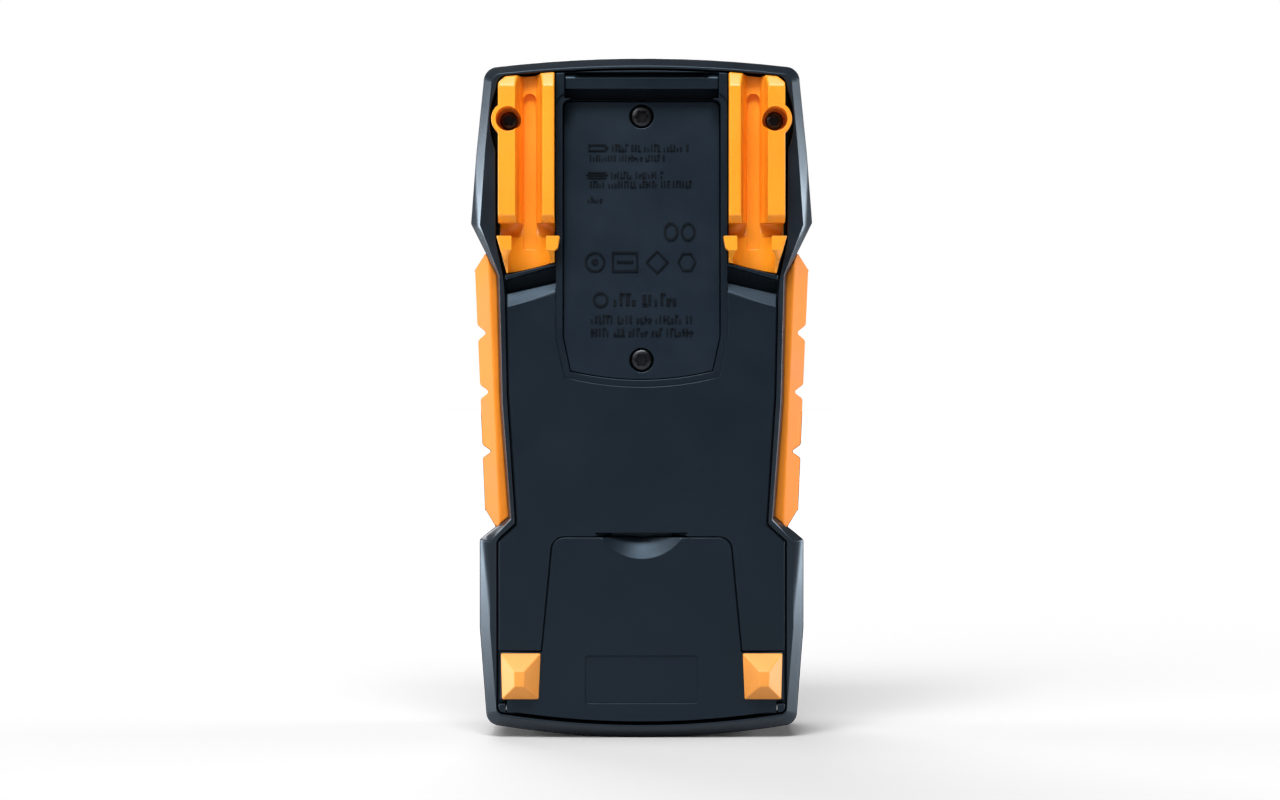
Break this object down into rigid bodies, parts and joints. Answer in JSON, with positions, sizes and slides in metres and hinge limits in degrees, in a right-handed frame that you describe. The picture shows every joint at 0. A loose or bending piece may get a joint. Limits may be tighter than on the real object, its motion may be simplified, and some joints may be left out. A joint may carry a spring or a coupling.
{
  "type": "digital multimeter",
  "caption": "Hand-held digital multimeter with a soft rim, side grips, rear probe holders, screwed battery cover and tilting stand.",
  "frame": {"origin": "middle of the bounding box's underside, where the meter stands on its bottom edge", "axes": "+Z along the length towards the top edge, +Y out of the rear panel, the display faces -Y, +X to the right seen from the front"},
  "size_m": [0.084, 0.045, 0.167],
  "materials": {
    "housing": "fine moulded grain, satin",
    "front_housing": "fine moulded grain, satin",
    "soft_rim": "matt moulded elastomer",
    "orange_grip": "matt moulded elastomer",
    "orange_plastic": "satin moulded plastic",
    "orange_foot": "soft matt rubber",
    "door": "fine moulded grain, satin",
    "steel": "zinc plated",
    "dark_screw": "black oxide",
    "spring_steel": "nickel plated",
    "brass": "turned",
    "window": "clear gloss",
    "lcd": "polariser film",
    "backlight": "milky",
    "inner_frame": "plain",
    "zebra": "plain",
    "key_cap": "matt silicone",
    "key_orange": "matt silicone",
    "mat": "translucent silicone",
    "dome": "film",
    "board": "solder mask",
    "chips": "moulded package",
    "shunt": "drawn wire alloy",
    "buzzer": "plain",
    "guard": "coated disc",
    "jack_body": "plain",
    "jack_red": "plain",
    "jack_black": "plain",
    "tray": "plain",
    "cell": "printed sleeve",
    "ceramic": "ceramic barrel with metal caps",
    "seal": "soft"
  },
  "bodies": {
    "case": {"battery_contacts": "spring_steel", "battery_tray": "tray", "board_chips": "chips", "buzzer": "buzzer", "case_screws": "steel", "case_seal": "seal", "cell_1": "cell", "cell_2": "cell", "cell_3": "cell", "display_window": "window", "dome_sheet": "dome", "front_cover": "front_housing", "fuse": "ceramic", "fuse_clips": "spring_steel", "grip_left": "orange_grip", "grip_right": "orange_grip", "hanger_bar": "housing", "holder_screws": "dark_screw", "input_protection": "guard", "jack_contact_1": "brass", "jack_contact_2": "brass", "jack_contact_3": "brass", "jack_housing": "jack_body", "jack_ring_1": "jack_red", "jack_ring_2": "jack_black", "jack_ring_3": "jack_red", "keypad_mat": "mat", "lcd_backlight": "backlight", "lcd_frame": "inner_frame", "lcd_glass": "lcd", "main_board": "board", "probe_holder_left": "orange_plastic", "probe_holder_right": "orange_plastic", "rear_cover": "housing", "rim_bumper": "soft_rim", "shunt": "shunt", "stand_hinge_pins": "steel", "zebra_strips": "zebra"},
    "battery_door": {"battery_cover": "door", "battery_cover_seal": "seal", "battery_cover_screws": "dark_screw"},
    "stand": {"stand": "housing", "foot_left": "orange_foot", "foot_right": "orange_foot"},
    "key_power": {"key_power": "key_orange"},
    "key_function_1": {"key_function_1": "key_cap"},
    "key_function_2": {"key_function_2": "key_cap"},
    "key_function_3": {"key_function_3": "key_cap"},
    "key_function_4": {"key_function_4": "key_cap"},
    "key_function_5": {"key_function_5": "key_cap"},
    "key_function_6": {"key_function_6": "key_cap"},
    "key_soft_1": {"key_soft_1": "key_cap"},
    "key_soft_2": {"key_soft_2": "key_cap"},
    "key_soft_3": {"key_soft_3": "key_cap"},
    "key_soft_4": {"key_soft_4": "key_cap"}
  },
  "joints": [
    {"name": "back_stand_tilt", "type": "hinge", "parent": "case", "child": "stand", "pos_m": [0, 0.017, 0.0074], "axis": [-1, 0, 0], "range_deg": [0, 65]},
    {"name": "battery_cover_lift", "type": "slide", "parent": "case", "child": "battery_door", "axis": [0, 1, 0], "range_m": [0, 0.03]},
    {"name": "key_power_press", "type": "slide", "parent": "case", "child": "key_power", "axis": [0, 1, 0], "range_m": [0, 0.0008], "stiffness_N_per_m": 1000, "springref_m": -0.0004},
    {"name": "key_function_1_press", "type": "slide", "parent": "case", "child": "key_function_1", "axis": [0, 1, 0], "range_m": [0, 0.0008], "stiffness_N_per_m": 1000, "springref_m": -0.0004},
    {"name": "key_function_2_press", "type": "slide", "parent": "case", "child": "key_function_2", "axis": [0, 1, 0], "range_m": [0, 0.0008], "stiffness_N_per_m": 1000, "springref_m": -0.0004},
    {"name": "key_function_3_press", "type": "slide", "parent": "case", "child": "key_function_3", "axis": [0, 1, 0], "range_m": [0, 0.0008], "stiffness_N_per_m": 1000, "springref_m": -0.0004},
    {"name": "key_function_4_press", "type": "slide", "parent": "case", "child": "key_function_4", "axis": [0, 1, 0], "range_m": [0, 0.0008], "stiffness_N_per_m": 1000, "springref_m": -0.0004},
    {"name": "key_function_5_press", "type": "slide", "parent": "case", "child": "key_function_5", "axis": [0, 1, 0], "range_m": [0, 0.0008], "stiffness_N_per_m": 1000, "springref_m": -0.0004},
    {"name": "key_function_6_press", "type": "slide", "parent": "case", "child": "key_function_6", "axis": [0, 1, 0], "range_m": [0, 0.0008], "stiffness_N_per_m": 1000, "springref_m": -0.0004},
    {"name": "key_soft_1_press", "type": "slide", "parent": "case", "child": "key_soft_1", "axis": [0, 1, 0], "range_m": [0, 0.0008], "stiffness_N_per_m": 1000, "springref_m": -0.0004},
    {"name": "key_soft_2_press", "type": "slide", "parent": "case", "child": "key_soft_2", "axis": [0, 1, 0], "range_m": [0, 0.0008], "stiffness_N_per_m": 1000, "springref_m": -0.0004},
    {"name": "key_soft_3_press", "type": "slide", "parent": "case", "child": "key_soft_3", "axis": [0, 1, 0], "range_m": [0, 0.0008], "stiffness_N_per_m": 1000, "springref_m": -0.0004},
    {"name": "key_soft_4_press", "type": "slide", "parent": "case", "child": "key_soft_4", "axis": [0, 1, 0], "range_m": [0, 0.0008], "stiffness_N_per_m": 1000, "springref_m": -0.0004}
  ]
}
